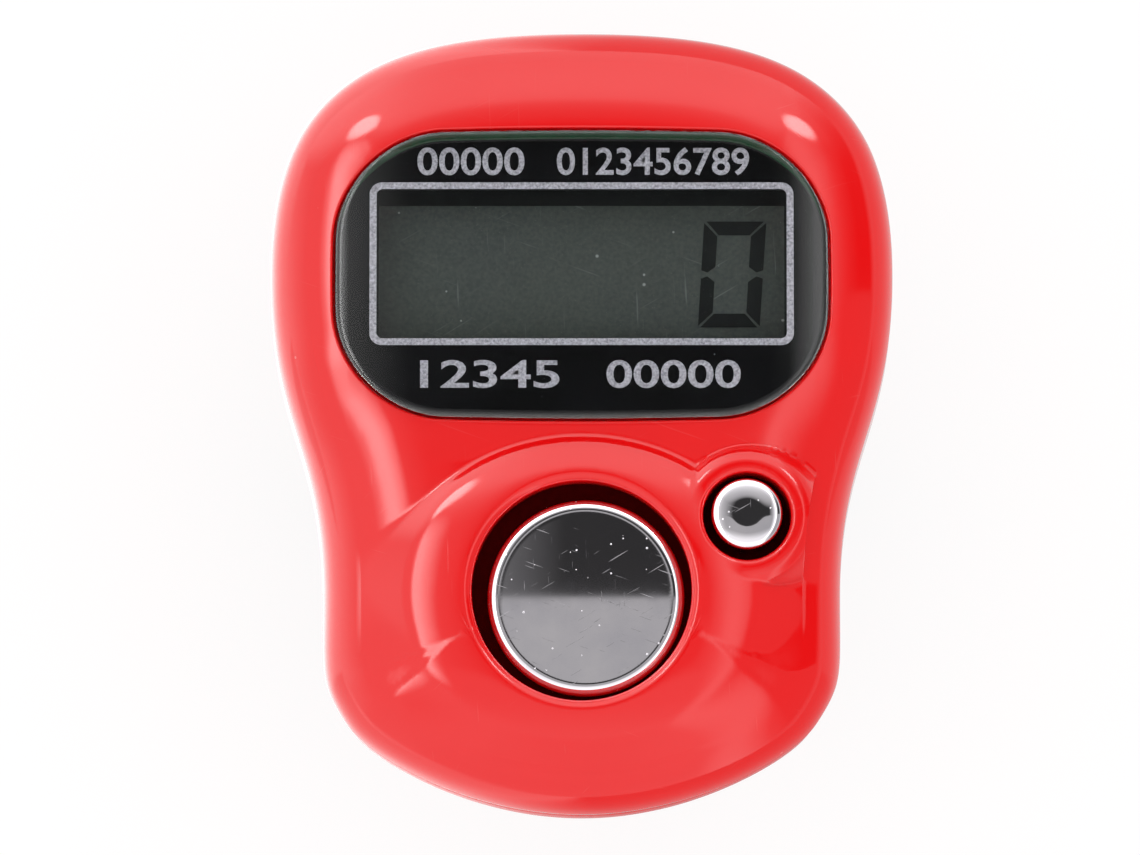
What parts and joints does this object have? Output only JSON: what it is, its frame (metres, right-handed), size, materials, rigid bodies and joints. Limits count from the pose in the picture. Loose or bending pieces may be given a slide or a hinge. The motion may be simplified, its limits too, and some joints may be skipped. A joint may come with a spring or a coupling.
{
  "type": "digital finger counter",
  "caption": "Pocket tally counter worn on a finger: glossy pod with a display, a large count button, a small reset button and a silicone band.",
  "frame": {"origin": "on the flat underside of the finger band, below the middle of the pod's outline", "axes": "+Z out of the display, +Y towards the display's top edge, +X to the right as the display is read"},
  "size_m": [0.0318, 0.04, 0.0312],
  "materials": {
    "red_plastic": "glossy injection moulded, fine handling scratches",
    "chrome_plate": "mirror plated plastic, light scratches",
    "clear_acrylic": "polished clear",
    "black_print": "black screen print with silver line and figures",
    "adhesive_tape": "matte",
    "display_glass": "polished",
    "polariser_film": "satin grey green",
    "black_plastic": "moulded",
    "board_laminate": "solder mask",
    "bright_steel": "nickel plated",
    "grey_silicone": "matte",
    "carbon_rubber": "matte",
    "black_silicone": "satin silicone",
    "ceramic_chip": "ceramic"
  },
  "bodies": {
    "case": {"front_shell": "red_plastic", "back_cover": "red_plastic", "display_window": "clear_acrylic", "window_print": "black_print", "window_tape": "adhesive_tape", "lcd_front_glass": "display_glass", "lcd_rear_glass": "display_glass", "lcd_front_polariser": "polariser_film", "lcd_rear_polariser": "polariser_film", "lcd_frame": "black_plastic", "zebra_strip": "carbon_rubber", "circuit_board": "board_laminate", "controller_blob": "black_plastic", "timing_capacitor": "ceramic_chip", "board_resistor": "black_plastic", "coin_cell": "bright_steel", "cell_clip": "bright_steel", "cell_spring": "bright_steel", "count_dome": "grey_silicone", "reset_dome": "grey_silicone", "case_screw_1": "bright_steel", "case_screw_2": "bright_steel", "case_screw_3": "bright_steel", "case_screw_4": "bright_steel", "board_screw_1": "bright_steel", "board_screw_2": "bright_steel", "board_screw_3": "bright_steel", "finger_band": "black_silicone", "band_stud": "bright_steel"},
    "count_key": {"count_button": "chrome_plate", "count_contact": "carbon_rubber"},
    "reset_key": {"reset_button": "chrome_plate", "reset_contact": "carbon_rubber"}
  },
  "joints": [
    {"name": "count_press", "type": "slide", "parent": "case", "child": "count_key", "axis": [0, 0, -1], "range_m": [0, 0.001], "stiffness_N_per_m": 400, "deforming": ["count_dome"]},
    {"name": "reset_press", "type": "slide", "parent": "case", "child": "reset_key", "axis": [0, 0, -1], "range_m": [0, 0.0007], "stiffness_N_per_m": 400, "deforming": ["reset_dome"]}
  ]
}
